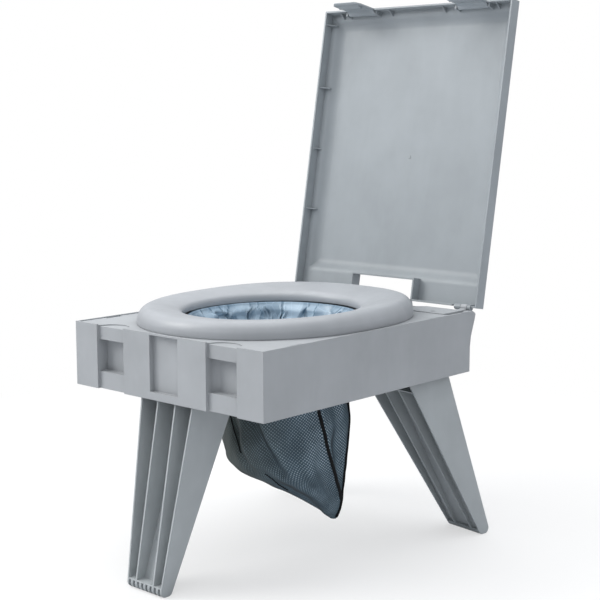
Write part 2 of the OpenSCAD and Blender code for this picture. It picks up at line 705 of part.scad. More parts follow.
// The liner turns over the opening's lip and hangs inside the mesh bag.
// Its turned edge: [height, growth of the opening's outline]
liner_rim = [
    [-3, -1.6], [3.2, -1.6], [3.2, 4.6], [-1.1, 4.6],
    [-1.1, 5.4], [4, 5.4], [4, -2.4], [-3, -2.4]
];
function liner_lift(i) = 8 + 6 * i / bag_count;
module waste_liner() color([0.66, 0.76, 0.84]) place() loft(concat(
    [for (i = [bag_count - 3:-1:2]) bag_ring(i, 5, liner_lift(i))],
    [for (r = liner_rim) [for (p = outline(mouth(r[1]), ring_points)) [p[0], p[1], r[0]]]],
    [for (i = [2:bag_count - 4]) bag_ring(i, 6, liner_lift(i))]
));
module liner_band() color([0.15, 0.16, 0.17]) place() oval_tube(mouth(7.9), 72, 1.4, 1.6, 0.8);

// ---------------------------------------------------------------- placed legs and their parts
module front_leg() color(grey_leg) at_front() leg();
module rear_right_leg() color(grey_leg) at_rear_right() rear_leg();
module rear_left_leg() color(grey_leg) at_rear_left() rear_leg();
module front_leg_pin() color(steel) at_front() leg_pin();
module rear_left_leg_pin() color(steel) at_rear_left() leg_pin();
module rear_right_leg_pin() color(steel) at_rear_right() leg_pin();
module front_leg_spring() color(steel) at_front() leg_spring();
module rear_left_leg_spring() color(steel) at_rear_left() leg_spring();
module rear_right_leg_spring() color(steel) at_rear_right() leg_spring();
module spring_screws() color(steel) {
    at_front() spring_screw();
    at_rear_left() spring_screw();
    at_rear_right() spring_screw();
}

case_shell();
hinge_rail();
rail_screws();
lid_hinge_pins();
lid_shell();
latch_left();
latch_right();
latch_pins();
seat_ring();
seat_hinge_arms();
seat_arm_screws();
seat_hinge_pins();
seat_bumpers();
front_leg();
rear_left_leg();
rear_right_leg();
front_leg_pin();
rear_left_leg_pin();
rear_right_leg_pin();
front_leg_spring();
rear_left_leg_spring();
rear_right_leg_spring();
spring_screws();
bag_hooks();
hook_screws();
mesh_bag();
bag_cord();
waste_liner();
liner_band();
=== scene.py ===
"""Looks for a case on three folding legs, with a lid, a seat ring and a hanging mesh bag.

The CAD pieces get their materials; the seat ring, the bag, its seams and the waste liner are
built as new meshes. Shapes are in millimetres from the case's top centre: x to the right,
y to the rear, z up. Materials, lights and camera are in metres in the row frame.
"""
import bpy, bmesh, math
import numpy as np
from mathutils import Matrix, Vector, noise


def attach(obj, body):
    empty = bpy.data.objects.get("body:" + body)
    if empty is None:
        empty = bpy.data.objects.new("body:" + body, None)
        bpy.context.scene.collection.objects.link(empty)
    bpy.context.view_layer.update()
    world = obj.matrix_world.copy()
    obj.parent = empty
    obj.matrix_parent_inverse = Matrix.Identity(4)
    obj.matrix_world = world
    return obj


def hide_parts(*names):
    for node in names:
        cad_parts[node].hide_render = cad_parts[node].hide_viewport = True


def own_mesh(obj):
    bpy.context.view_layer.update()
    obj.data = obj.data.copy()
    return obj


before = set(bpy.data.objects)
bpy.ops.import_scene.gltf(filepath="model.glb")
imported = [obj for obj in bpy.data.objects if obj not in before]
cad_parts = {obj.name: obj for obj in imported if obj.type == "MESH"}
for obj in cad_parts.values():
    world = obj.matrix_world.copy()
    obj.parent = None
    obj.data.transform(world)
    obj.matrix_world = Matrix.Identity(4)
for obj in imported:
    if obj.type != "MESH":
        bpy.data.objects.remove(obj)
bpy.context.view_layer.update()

CASE_Y, CASE_Z = -41.783, 372.0      # the case's top centre in the row frame, mm
VIEW_RIGHT = (0.745, 0.667)          # x, y of "right" as seen from the front right corner
VIEW_NEAR = (0.667, -0.745)          # x, y of "towards that corner"
FULL_TURN = 2 * math.pi


def row_point(x, y, z):
    """Local millimetres to row-frame metres."""
    return Vector((x / 1000.0, (y + CASE_Y) / 1000.0, (z + CASE_Z) / 1000.0))


# ------------------------------------------------------------------ curves
def smoothstep(value, start, end):
    """Eased 0 to 1 as value goes from start to end; end may be the lower one."""
    t = np.clip((np.asarray(value, float) - start) / (end - start), 0, 1)
    return t * t * (3 - 2 * t)


def spline(x, xs, ys):
    """Smooth cubic through the points (xs, ys), held at its ends."""
    slope = np.gradient(ys, xs)
    x = np.clip(np.asarray(x, float), xs[0], xs[-1])
    i = np.clip(np.searchsorted(xs, x) - 1, 0, len(xs) - 2)
    step = xs[i + 1] - xs[i]
    t = (x - xs[i]) / step
    return ((2 * t**3 - 3 * t**2 + 1) * ys[i] + (t**3 - 2 * t**2 + t) * step * slope[i]
            + (-2 * t**3 + 3 * t**2) * ys[i + 1] + (t**3 - t**2) * step * slope[i + 1])


def oval(angle, half_width, centre_y, front, rear, power):
    """Superellipse points, with separate reaches to the front (-y) and the rear."""
    cos, sin = np.cos(angle), np.sin(angle)
    reach = np.where(sin < 0, front, rear)
    x = half_width * np.sign(cos) * np.abs(cos) ** (2.0 / power)
    y = centre_y + reach * np.sign(sin) * np.abs(sin) ** (2.0 / power)
    return x, y


def turn(count):
    """Equal angle steps round a full turn."""
    return np.linspace(0, FULL_TURN, count, endpoint=False)


# ------------------------------------------------------------------ meshes
def new_object(name, verts, faces, smooth=True):
    mesh = bpy.data.meshes.new(name)
    mesh.from_pydata(verts, [], faces)
    mesh.update()
    if smooth:
        for face in mesh.polygons:
            face.use_smooth = True
    obj = bpy.data.objects.new(name, mesh)
    bpy.context.scene.collection.objects.link(obj)
    return obj


def grid_mesh(name, points, close_rows=False, uv=None, tip=False):
    """Skin over points (rows, columns, xyz) whose columns wrap round.

    close_rows joins the last row to the first; tip closes the last row to its centre.
    uv is (u at each column and once more at the wrap, v at each row).
    """
    rows, cols = points.shape[:2]
    verts = [row_point(*point) for point in points.reshape(-1, 3)]
    faces, corners = [], []
    for j in range(rows if close_rows else rows - 1):
        for i in range(cols):
            j2, i2 = (j + 1) % rows, (i + 1) % cols
            faces.append((j * cols + i, j * cols + i2, j2 * cols + i2, j2 * cols + i))
            if uv:
                (u0, u1), (v0, v1) = uv[0][i:i + 2], uv[1][j:j + 2]
                corners += [(u0, v0), (u1, v0), (u1, v1), (u0, v1)]
    if tip:
        tip_index = len(verts)
        verts.append(row_point(*points[-1].mean(0)))
        start = (rows - 1) * cols
        for i in range(cols):
            faces.append((start + i, start + (i + 1) % cols, tip_index))
            if uv:
                (u0, u1), v_end = uv[0][i:i + 2], uv[1][-1]
                corners += [(u0, v_end), (u1, v_end), ((u0 + u1) / 2, v_end + 0.003)]
    obj = new_object(name, verts, faces)
    if uv:
        layer = obj.data.uv_layers.new(name="flat")
        layer.data.foreach_set("uv", np.array(corners, np.float32).ravel())
    fix_normals(obj)
    return obj


def fix_normals(obj):
    bm = bmesh.new()
    bm.from_mesh(obj.data)
    bmesh.ops.recalc_face_normals(bm, faces=bm.faces)
    bm.to_mesh(obj.data)
    bm.free()
    obj.data.update()


def apply_modifier(obj, name, kind, **settings):
    """Add a modifier and bake it into the object's mesh."""
    modifier = obj.modifiers.new(name, kind)
    for key, value in settings.items():
        setattr(modifier, key, value)
    bpy.context.view_layer.update()
    graph = bpy.context.evaluated_depsgraph_get()
    baked = bpy.data.meshes.new_from_object(
        obj.evaluated_get(graph), preserve_all_data_layers=True, depsgraph=graph)
    obj.modifiers.clear()
    old = obj.data
    obj.data = baked
    bpy.data.meshes.remove(old)


def thicken(obj, thickness):
    apply_modifier(obj, "thick", "SOLIDIFY",
                   thickness=thickness, offset=-1, use_even_offset=False)


def tube(name, path, radius, sides=8):
    """A capped tube along local points, its frame carried along without twisting."""
    path = [Vector(point) for point in path]
    count = len(path)
    tangents = [(path[min(i + 1, count - 1)] - path[max(i - 1, 0)]).normalized()
                for i in range(count)]
    first = tangents[0]
    up = Vector((0, 0, 1)) if abs(first.z) < 0.9 else Vector((1, 0, 0))
    normal = (up - first * up.dot(first)).normalized()
    verts, faces = [], []
    for i, (point, tangent) in enumerate(zip(path, tangents)):
        if i:
            normal = (normal - tangent * normal.dot(tangent)).normalized()
        side = tangent.cross(normal)
        for k in range(sides):
            angle = FULL_TURN * k / sides
            verts.append(row_point(*(point + normal * (radius * math.cos(angle))
                                     + side * (radius * math.sin(angle)))))
    for i in range(count - 1):
        for k in range(sides):
            k2 = (k + 1) % sides
            faces.append((i * sides + k, i * sides + k2,
                          (i + 1) * sides + k2, (i + 1) * sides + k))
    faces.append(tuple(range(sides - 1, -1, -1)))
    faces.append(tuple((count - 1) * sides + k for k in range(sides)))
    return new_object(name, verts, faces)


# ------------------------------------------------------------------ shader building
class Nodes:
    """Short calls for the nodes used below; each returns an output socket, node() the node."""

    def __init__(self, tree):
        self.tree = tree

    def feed(self, value, socket):
        """Link an output to the socket, or set a plain value; colours get an alpha of 1."""
        if isinstance(value, bpy.types.NodeSocket):
            self.tree.links.new(value, socket)
        elif socket.type == "RGBA":
            socket.default_value = (*value, 1)
        else:
            socket.default_value = value

    def node(self, kind, inputs=None, **settings):
        node = self.tree.nodes.new("ShaderNode" + kind)
        for key, value in settings.items():
            setattr(node, key, value)
        for key, value in (inputs or {}).items():
            self.feed(value, node.inputs[key])
        return node

    def calc(self, operation, *values, clamp=False):
        node = self.node("Math", dict(enumerate(values)), operation=operation, use_clamp=clamp)
        return node.outputs[0]

    def times(self, first, second, clamp=False):
        return self.calc("MULTIPLY", first, second, clamp=clamp)

    def remap(self, value, span, to=(0, 1)):
        """Take the range span to the range to, clamped."""
        inputs = dict(enumerate((value, *span, *to)))
        return self.node("MapRange", inputs, clamp=True).outputs[0]

    def mix(self, share, first, second):
        """Colour mix; a share of 1 gives the second."""
        return self.node("Mix", {0: share, 6: first, 7: second}, data_type="RGBA").outputs[2]

    def blend(self, share, first, second):
        """Shader mix; a share of 1 gives the second."""
        return self.node("MixShader", {0: share, 1: first, 2: second}).outputs[0]


class Material(Nodes):
    """A material around one Principled shader, patterned in object coordinates."""

    def __init__(self, name):
        self.material = bpy.data.materials.new(name)
        self.material.use_nodes = True
        super().__init__(self.material.node_tree)
        self.tree.nodes.clear()
        self.output = self.node("OutputMaterial")
        self.principled = self.node("BsdfPrincipled")
        self.body = self.principled.outputs[0]
        self.finish(self.body)
        self.coords = self.node("TexCoord")
        self.place = self.coords.outputs["Object"]

    def finish(self, shader):
        self.feed(shader, self.output.inputs[0])

    def surface(self, inputs):
        for key, value in inputs.items():
            self.feed(value, self.principled.inputs[key])

    def stretched(self, scale):
        return self.node("Mapping", {"Vector": self.place, "Scale": scale}).outputs[0]

    def noise(self, scale, detail, rough, stretch=None):
        coords = self.stretched(stretch) if stretch else self.place
        inputs = {"Scale": scale, "Detail": detail, "Roughness": rough, "Vector": coords}
        return self.node("TexNoise", inputs).outputs["Fac"]

    def bump(self, height, strength, distance, normal=None):
        inputs = {"Strength": strength, "Distance": distance, "Height": height}
        if normal is not None:
            inputs["Normal"] = normal
        return self.node("Bump", inputs).outputs[0]

    def bevel(self, radius):
        """Normal rounded over the edges."""
        return self.node("Bevel", {"Radius": radius}, samples=4).outputs[0]

    def occlusion(self, samples, distance):
        """1 in the open, towards 0 in hollows."""
        node = self.node("AmbientOcclusion", {"Distance": distance}, samples=samples)
        return node.outputs["AO"]


def srgb(code):
    """Linear colour from a hex code."""
    parts = [int(code[i:i + 2], 16) / 255 for i in (1, 3, 5)]
    return tuple(v / 12.92 if v < 0.04045 else ((v + 0.055) / 1.055) ** 2.4 for v in parts)


def scaled(colour, factor):
    return tuple(min(1, part * factor) for part in colour)


# ------------------------------------------------------------------ materials
def plastic(name, colour, rough, grain=0.10, bevel=0.0011, edge=0.10, hollow_shade=1.0, upward_shade=0.0):
    """Moulded plastic with fine grain, faint flow marks, rubbed edges and painted shade in its
    hollows.

    The last three arguments set the strength of edge wear, of painted shade in hollows and of
    painted shade on faces that look upwards.
    """
    mat = Material(name)
    blotch = mat.noise(scale=9, detail=3, rough=0.6)
    mottle = mat.noise(scale=60, detail=4, rough=0.6)
    fine = mat.noise(scale=2600, detail=2, rough=0.5)
    flow = mat.noise(scale=22, detail=5, rough=0.65, stretch=(1, 1, 0.18))

    # scratches along x and along y, only in patches
    scratch_x = mat.noise(scale=240, detail=4, rough=0.8, stretch=(0.08, 1.0, 1.0))
    scratch_y = mat.noise(scale=240, detail=4, rough=0.8, stretch=(1.0, 0.07, 1.0))
    scratches = mat.calc("ADD", mat.remap(scratch_x, span=(0.68, 0.74)),
                         mat.remap(scratch_y, span=(0.69, 0.75)), clamp=True)
    patches = mat.remap(mat.noise(scale=14, detail=2, rough=0.5), span=(0.5, 0.68))
    scratches = mat.times(scratches, patches)

    base = mat.mix(mat.remap(blotch, span=(0.3, 0.72)), scaled(colour, 0.86), colour)
    base = mat.mix(mat.remap(flow, span=(0.45, 0.8), to=(0, 0.35)), base, scaled(colour, 1.10))
    base = mat.mix(mat.times(scratches, 0.28), base, scaled(colour, 1.35))

    # edges show where the rounded normal leaves the true one
    rounded = mat.bevel(bevel)
    true_normal = mat.node("NewGeometry").outputs["Normal"]
    match = mat.node("VectorMath", {0: rounded, 1: true_normal}, operation="DOT_PRODUCT")
    rub = mat.remap(match.outputs["Value"], span=(0.72, 0.995), to=(1, 0))
    rub = mat.times(rub, mat.remap(mottle, span=(0.32, 0.62), to=(0.25, 1)))
    base = mat.mix(mat.times(rub, edge * 2.2, clamp=True), base, scaled(colour, 1.45))

    # painted shade: hollows found by ambient occlusion are darkened towards half the colour,
    # unevenly by mottle
    hollows = mat.occlusion(samples=4, distance=0.018)
    painted_hollow_shade = mat.times(mat.remap(hollows, span=(0.35, 0.95), to=(0.34 * hollow_shade, 0)),
                      mat.remap(mottle, span=(0.3, 0.75), to=(0.55, 1)))
    base = mat.mix(painted_hollow_shade, base, scaled(colour, 0.52))
    if upward_shade:
        # painted shade: the faces that look upwards are darkened
        normal = mat.node("SeparateXYZ", {0: mat.coords.outputs["Normal"]})
        dust_and_painted_shade = mat.remap(normal.outputs[2], span=(0.15, 0.75), to=(0, upward_shade))
        base = mat.mix(dust_and_painted_shade, base, scaled(colour, 0.55))

    gloss = mat.remap(mottle, span=(0.2, 0.8), to=(rough - 0.05, rough + 0.08))
    height = mat.calc("ADD", mat.times(fine, grain), mat.times(mottle, 0.35))
    skin = mat.bump(height, strength=0.10, distance=0.0006, normal=rounded)
    sink = mat.noise(scale=26, detail=2, rough=0.4)
    mat.surface({
        "Base Color": base,
        "Roughness": mat.calc("ADD", gloss, mat.times(scratches, 0.12)),
        "Normal": mat.bump(sink, strength=0.10, distance=0.0022, normal=skin),
        "Specular IOR Level": 0.42,
    })
    return mat.material


def metal(name, colour, rough):
    """Brushed metal with duller spots."""
    mat = Material(name)
    brush = mat.noise(scale=900, detail=3, rough=0.7, stretch=(0.05, 1, 1))
    spots = mat.noise(scale=160, detail=4, rough=0.65)
    dull = mat.remap(spots, span=(0.45, 0.7), to=(0, 0.5))
    edges = mat.bevel(radius=0.0004)
    mat.surface({
        "Base Color": mat.mix(dull, colour, scaled(colour, 0.72)),
        "Roughness": mat.remap(brush, span=(0.2, 0.8), to=(rough - 0.08, rough + 0.14)),
        "Metallic": 1.0,
        "Normal": mat.bump(brush, strength=0.18, distance=0.0002, normal=edges),
    })
    return mat.material


def rubber(name, colour, rough):
    """Matt rubber with pale dust."""
    mat = Material(name)
    dust_and_painted_shade = mat.noise(scale=420, detail=4, rough=0.6)
    pores = mat.noise(scale=1800, detail=2, rough=0.5)
    edges = mat.bevel(radius=0.0004)
    share = mat.remap(dust_and_painted_shade, span=(0.4, 0.75), to=(0, 0.6))
    mat.surface({
        "Base Color": mat.mix(share, colour, scaled(colour, 2.2)),
        "Roughness": mat.remap(dust_and_painted_shade, span=(0.2, 0.8), to=(rough - 0.08, rough + 0.12)),
        "Normal": mat.bump(pores, strength=0.25, distance=0.0003, normal=edges),
    })
    return mat.material


def braid(name, colour, sheen=0.3):
    """Braided cord or knitted elastic: crossing strands from two slanted waves."""
    mat = Material(name)
    strands = []
    for slant in (1.0, -1.0):
        inputs = {"Scale": 260, "Distortion": 0.6, "Vector": mat.stretched((0.9, 0.9, slant))}
        wave = mat.node("TexWave", inputs, wave_type="BANDS", bands_direction="DIAGONAL")
        strands.append(wave.outputs["Fac"])
    height = mat.calc("MAXIMUM", *strands)
    mat.surface({
        # painted shade: the colour darkens to 45 per cent in the grooves between strands
        "Base Color": mat.mix(height, scaled(colour, 0.45), colour),
        "Roughness": 0.82,
        "Sheen Weight": sheen,
        "Specular IOR Level": 0.25,
        "Normal": mat.bump(height, strength=0.6, distance=0.0005),
    })
    return mat.material


def film(name, colour, deep):
    """Thin crinkled film, slightly see-through, darkened by painted shade of its folds and lip,
    read from a mesh attribute.
    """
    mat = Material(name)
    cloud = mat.noise(scale=30, detail=2, rough=0.5)
    cells = mat.node("TexVoronoi", {"Scale": 52, "Vector": mat.place},
                     feature="DISTANCE_TO_EDGE")
    creases = mat.remap(cells.outputs["Distance"], span=(0.0, 0.05), to=(1, 0))
    fine = mat.noise(scale=240, detail=4, rough=0.6)
    film_shade = mat.node("Attribute", attribute_name="film_shade").outputs["Fac"]

    base = mat.mix(mat.remap(cloud, span=(0.36, 0.66), to=(0, 0.35)), colour, deep)
    # painted shade of the folds, crease lines, lip and tip, from the mesh attribute
    base = mat.mix(mat.remap(film_shade, span=(0.0, 1.0)), base, scaled(deep, 0.66))
    base = mat.mix(mat.times(creases, 0.22), base, scaled(colour, 1.35))
    hollows = mat.occlusion(samples=6, distance=0.014)
    shadow = mat.remap(hollows, span=(0.2, 0.75), to=(0.34, 0))
    base = mat.mix(shadow, base, scaled(deep, 0.5))

    height = mat.calc("ADD", mat.times(creases, 0.4), mat.times(fine, 0.5))
    mat.surface({
        "Base Color": base,
        "Roughness": mat.remap(fine, span=(0.2, 0.8), to=(0.24, 0.42)),
        "Normal": mat.bump(height, strength=0.25, distance=0.0012),
        "Coat Weight": 0.25,
        "Coat Roughness": 0.2,
    })
    through = mat.node("BsdfTranslucent", {0: base}).outputs[0]
    mat.finish(mat.blend(0.22, mat.body, through))
    return mat.material


def net(name, thread, painted_liner_light, pitch=0.0037, slant=math.radians(38)):
    """Knitted mesh: a slanted lattice of holes, painted with a pale colour for the lit liner
    seen through them.

    The holes close up at grazing angles and towards the left of the front corner's view.
    """
    mat = Material(name)
    uv = mat.node("SeparateXYZ", {0: mat.node("TexCoord").outputs["UV"]}).outputs
    wave = FULL_TURN / pitch
    along, across = wave * math.cos(slant), wave * math.sin(slant)
    first = mat.calc("ADD", mat.times(uv[0], along), mat.times(uv[1], across))
    second = mat.calc("SUBTRACT", mat.times(uv[1], along), mat.times(uv[0], across))
    lattice = mat.times(mat.remap(mat.calc("COSINE", first), span=(-1, 1)),
                        mat.remap(mat.calc("COSINE", second), span=(-1, 1)))
    grazing = mat.node("LayerWeight", {"Blend": 0.5}).outputs["Facing"]
    place = mat.node("SeparateXYZ", {0: mat.place}).outputs
    right = mat.calc("ADD", mat.times(place[0], VIEW_RIGHT[0]),
                     mat.times(place[1], VIEW_RIGHT[1]))
    cloud = mat.noise(scale=24, detail=3, rough=0.6)
    fine = mat.noise(scale=1500, detail=3, rough=0.6)

    openness = mat.remap(right, span=(-0.085, 0.035), to=(0.20, 1.0))
    openness = mat.times(openness, mat.remap(cloud, span=(0.34, 0.62), to=(1.0, 0.45)))
    openness = mat.times(openness, mat.remap(grazing, span=(0.25, 0.85), to=(1.0, 0.0)))
    hole = mat.times(mat.remap(lattice, span=(0.22, 0.62)), openness)

    left_colour, grazing_colour = srgb("#5b5d50"), (0.008, 0.009, 0.009)
    base = mat.mix(mat.remap(cloud, span=(0.3, 0.7)), thread, scaled(thread, 0.66))
    base = mat.mix(mat.remap(right, span=(-0.11, -0.005), to=(0.85, 0.0)), base, left_colour)
    base = mat.mix(mat.remap(fine, span=(0.35, 0.7), to=(0, 0.35)), base, scaled(thread, 1.7))
    base = mat.mix(mat.remap(grazing, span=(0.72, 0.97), to=(0, 0.85)), base, grazing_colour)
    # painted light: the holes take the pale colour of a lit liner instead of light that reaches
    # the liner
    base = mat.mix(mat.times(hole, 0.92), base, painted_liner_light)
    mat.surface({
        "Base Color": base,
        "Roughness": 0.66,
        "Specular IOR Level": 0.25,
        "Normal": mat.bump(lattice, strength=0.45, distance=0.0007),
    })
    clear = mat.node("BsdfTransparent").outputs[0]
    mat.finish(mat.blend(mat.times(hole, 0.14), mat.body, clear))
    return mat.material


CASE = plastic("case_plastic", srgb("#aaadb0"), rough=0.46)
LID = plastic("lid_plastic", srgb("#a2a8ac"), rough=0.44, upward_shade=0.42)
LATCH = plastic("latch_plastic", srgb("#a7aeb3"), rough=0.40)
SEAT = plastic("seat_plastic", srgb("#aaadb1"), rough=0.34,
               grain=0.05, bevel=0.0006, edge=0.04, hollow_shade=0.6)
LEG = plastic("leg_plastic", srgb("#b1b6b8"), rough=0.44)
STEEL = metal("zinc_steel", (0.56, 0.57, 0.58), rough=0.34)
SPRING = metal("spring_strip", (0.42, 0.43, 0.45), rough=0.28)
RUBBER = rubber("soft_rubber", (0.03, 0.03, 0.032), rough=0.72)
DARK = plastic("dark_plastic", (0.035, 0.035, 0.038), rough=0.5, edge=0.06)
CORD = braid("cord_braid", (0.02, 0.02, 0.022))
BAND = braid("elastic_band", (0.03, 0.03, 0.033))
PIPING = braid("piping_tape", (0.010, 0.010, 0.011), sheen=0.0)
FILM = film("liner_film", colour=srgb("#bdd2e2"), deep=srgb("#7c9eb9"))
NET = net("mesh_net", thread=srgb("#4a5c67"), painted_liner_light=srgb("#cfe2ee"))

CAD_MATERIALS = [
    (CASE, ["case_shell", "hinge_rail"]),
    (LID, ["lid_shell"]),
    (LATCH, ["latch_left", "latch_right"]),
    (SEAT, ["seat_hinge_arms"]),
    (LEG, ["front_leg", "rear_left_leg", "rear_right_leg"]),
    (STEEL, ["rail_screws", "lid_hinge_pins", "latch_pins", "seat_hinge_pins",
             "seat_arm_screws", "front_leg_pin", "rear_left_leg_pin", "rear_right_leg_pin",
             "spring_screws", "hook_screws"]),
    (SPRING, ["front_leg_spring", "rear_left_leg_spring", "rear_right_leg_spring"]),
    (RUBBER, ["seat_bumpers"]),
    (DARK, ["bag_hooks"]),
    (CORD, ["bag_cord"]),
    (BAND, ["liner_band"]),
]
for material, pieces in CAD_MATERIALS:
    for piece in pieces:
        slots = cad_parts[piece].data.materials
        slots.clear()
        slots.append(material)


# ------------------------------------------------------------------ seat ring
# Section of the ring: distance, height, and where the distance is counted from:
# 1 outer edge inwards, -1 inner edge outwards, 0 share of the width
SEAT_SECTION = [
    (3, 4.3, -1), (0.9, 4.1, -1), (0.25, 4.6, -1), (0, 8, -1), (0.5, 11.4, -1),
    (2.3, 14.2, -1), (5.6, 16.3, -1), (11, 18, -1), (0.32, 20.3, 0), (0.5, 22.4, 0),
    (24, 23.7, 1), (19, 24, 1), (14, 23.3, 1), (9.5, 21.4, 1), (6, 18.6, 1), (3.2, 15, 1),
    (1.4, 10.6, 1), (0.7, 8.2, 1), (0.25, 5, 1), (0.05, 2, 1), (0, -0.5, 1),
    (1.6, -0.6, 1), (2.3, 0.5, 1), (3, 6, 1), (4.2, 10.5, 1), (6.8, 14.8, 1),
    (9.8, 17.6, 1), (14, 19.6, 1), (19.5, 20.8, 1), (25, 20.6, 1), (0.5, 19.2, 0),
    (0.32, 17.2, 0), (12.5, 15, -1), (8, 13.4, -1), (5, 11.4, -1), (3.4, 8.6, -1),
    (3, 5.2, -1),
]
SEAT_COLUMNS = 192
SEAT_HEIGHT = 24         # top of the section at the front
SEAT_RISE = 5.5          # added over SEAT_RUN towards the rear
SEAT_RUN = 400
SEAT_RISE_START = -210   # y where the rise starts


def seat_lift(y):
    """Height factor of the seat, growing towards the rear."""
    return (SEAT_HEIGHT + SEAT_RISE * (y - SEAT_RISE_START) / SEAT_RUN) / SEAT_HEIGHT


def seat_ring():
    angle = turn(SEAT_COLUMNS)
    power = np.where(np.sin(angle) < 0, 2.1, 2.45)
    inner_x, inner_y = oval(angle, 127.5, centre_y=-12, front=146, rear=143, power=2.1)
    outer_x, outer_y = oval(angle, 188.5, centre_y=-10, front=222, rear=228, power=power)
    width = np.hypot(outer_x - inner_x, outer_y - inner_y)
    rows = []
    for distance, height, origin in SEAT_SECTION:
        share = {0: distance, 1: 1 - distance / width, -1: distance / width}[origin]
        x = inner_x + (outer_x - inner_x) * share
        y = inner_y + (outer_y - inner_y) * share
        if height > 0.6:
            z = height * seat_lift(y)
        else:
            # the lower edge steps up at the rear
            z = -0.9 + 1.6 * np.clip((y - 176) / 12, 0, 1) + height
        rows.append(np.stack([x, y, z], 1))
    ring = grid_mesh("seat_ring_skin", np.array(rows), close_rows=True)
    apply_modifier(ring, "sub", "SUBSURF", levels=2, render_levels=2)
    ring.data.materials.append(SEAT)
    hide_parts("seat_ring")
    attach(ring, "seat")


seat_ring()

# ------------------------------------------------------------------ bag
# Height, centre x, centre y, half width along x, half width along y
BAG_SECTIONS = np.array([
    (-8.5, 0, -9.5, 129, 130.3), (-16, 0, -9.5, 127, 128.3), (-30, 1, -8, 116, 118),
    (-60, 4.5, -3.5, 107, 109), (-98, 10, 2, 100, 101), (-140, 12, 9, 95, 94),
    (-172, 10.5, 9.5, 98, 96), (-200, 9.5, 8.5, 99, 97), (-226, 12, 11, 94, 91),
    (-246, 20, 18, 82, 78), (-264, 31, 28, 63, 60), (-282, 43, 39, 43, 42),
    (-300, 54, 49, 28, 28), (-316, 62, 56, 15, 16), (-327, 66, 60, 6, 7),
])
BAG_TOP, BAG_BOTTOM = BAG_SECTIONS[0, 0], BAG_SECTIONS[-1, 0]
BAG_ROWS, BAG_COLUMNS = 150, 288

# Right limit in the front corner's view: depth below the case top, distance to the right
RIGHT_LIMIT = [
    (0, 140), (60, 128), (100, 121), (138, 115.9), (163, 113.6), (189, 111.1),
    (215, 108.4), (241, 106), (271, 104.1), (296, 102.5), (317, 98.6), (328, 94),
]
LIMIT_SOFTNESS = 7.0

# Folds in the front corner's view: width, depth (positive inwards), line as (right, height)
FOLDS = [
    (9.5, 12.0, [(-46, -120), (-35.5, -157), (-21.7, -188), (-5, -215), (6, -230)]),
    (10, -5.0, [(-28, -120), (-14, -172), (8, -212), (30, -240)]),
    (5.0, 5.5, [(-84, -125), (-73, -156), (-64, -180), (-56, -204), (-36, -236)]),
    (7.0, -4.0, [(-62, -140), (-52, -180), (-40, -215)]),
    (6, 5.0, [(-24, -232), (-8, -244), (14, -262), (44, -284), (66, -312)]),
    (9, -3.5, [(0, -240), (30, -256), (60, -282), (80, -312)]),
    (8, 2.8, [(30, -110), (40, -165), (60, -225), (84, -290)]),
    (5.5, -5.5, [(62, -120), (70, -170), (82, -217), (92, -262), (97, -290)]),
    (8, 3.0, [(92, -120), (95, -200), (98, -280)]),
]

# Seams on the bag: name, radius, line as (right, height) in the front corner's view
SEAMS = [
    ("bag_piping_right", 2.7, [
        (56, -106), (62.4, -133), (70.2, -164), (74.1, -181), (82.1, -214), (86.3, -230),
        (91.4, -252), (97, -275), (99.5, -294), (97, -310), (92, -322)]),
    ("bag_piping_side", 2.3, [
        (118, -106), (113.6, -136), (111.5, -163), (109, -189), (106, -215), (103.8, -241),
        (102, -270), (100.5, -290), (98, -306), (92.5, -321)]),
    ("bag_seam_left", 0.8, [
        (-84, -125), (-73.3, -156), (-69.1, -168), (-64.1, -180), (-60.1, -192),
        (-56.2, -204)]),
    ("bag_seam_low", 0.9, [(-19.2, -235), (-8.5, -244), (2, -257), (16, -268)]),
]
SEAM_STEPS = 70
SEAM_STANDOFF = 0.6      # seam centre line outside the net


def bag_section(z):
    """Centre x, centre y and both half widths at the given heights."""
    depths = -BAG_SECTIONS[:, 0]
    return [spline(-z, depths, BAG_SECTIONS[:, column]) for column in (1, 2, 3, 4)]


def corner_view(x, y):
    """Distances to the right and towards the viewer at the front right corner."""
    return (x * VIEW_RIGHT[0] + y * VIEW_RIGHT[1], x * VIEW_NEAR[0] + y * VIEW_NEAR[1])


def fold_groove(right, z, width, depth, line):
    """Rounded groove along a line of (right, height) points."""
    nearest = np.full(right.shape, 1e9)
    for start, end in zip(line[:-1], line[1:]):
        start, end = np.array(start, float), np.array(end, float)
        run = end - start
        t = ((right - start[0]) * run[0] + (z - start[1]) * run[1]) / (run @ run)
        t = np.clip(t, 0, 1)
        gap = np.hypot(right - start[0] - t * run[0], z - start[1] - t * run[1])
        nearest = np.minimum(nearest, gap)
    return depth * np.exp(-(nearest / width) ** 2)


def wrinkle(x, y, z, scale, seed):
    """Noise at each point."""
    sample = np.vectorize(lambda a, b, c: noise.noise(Vector((a + seed, b, c))))
    return sample(x / scale, y / scale, z / scale)


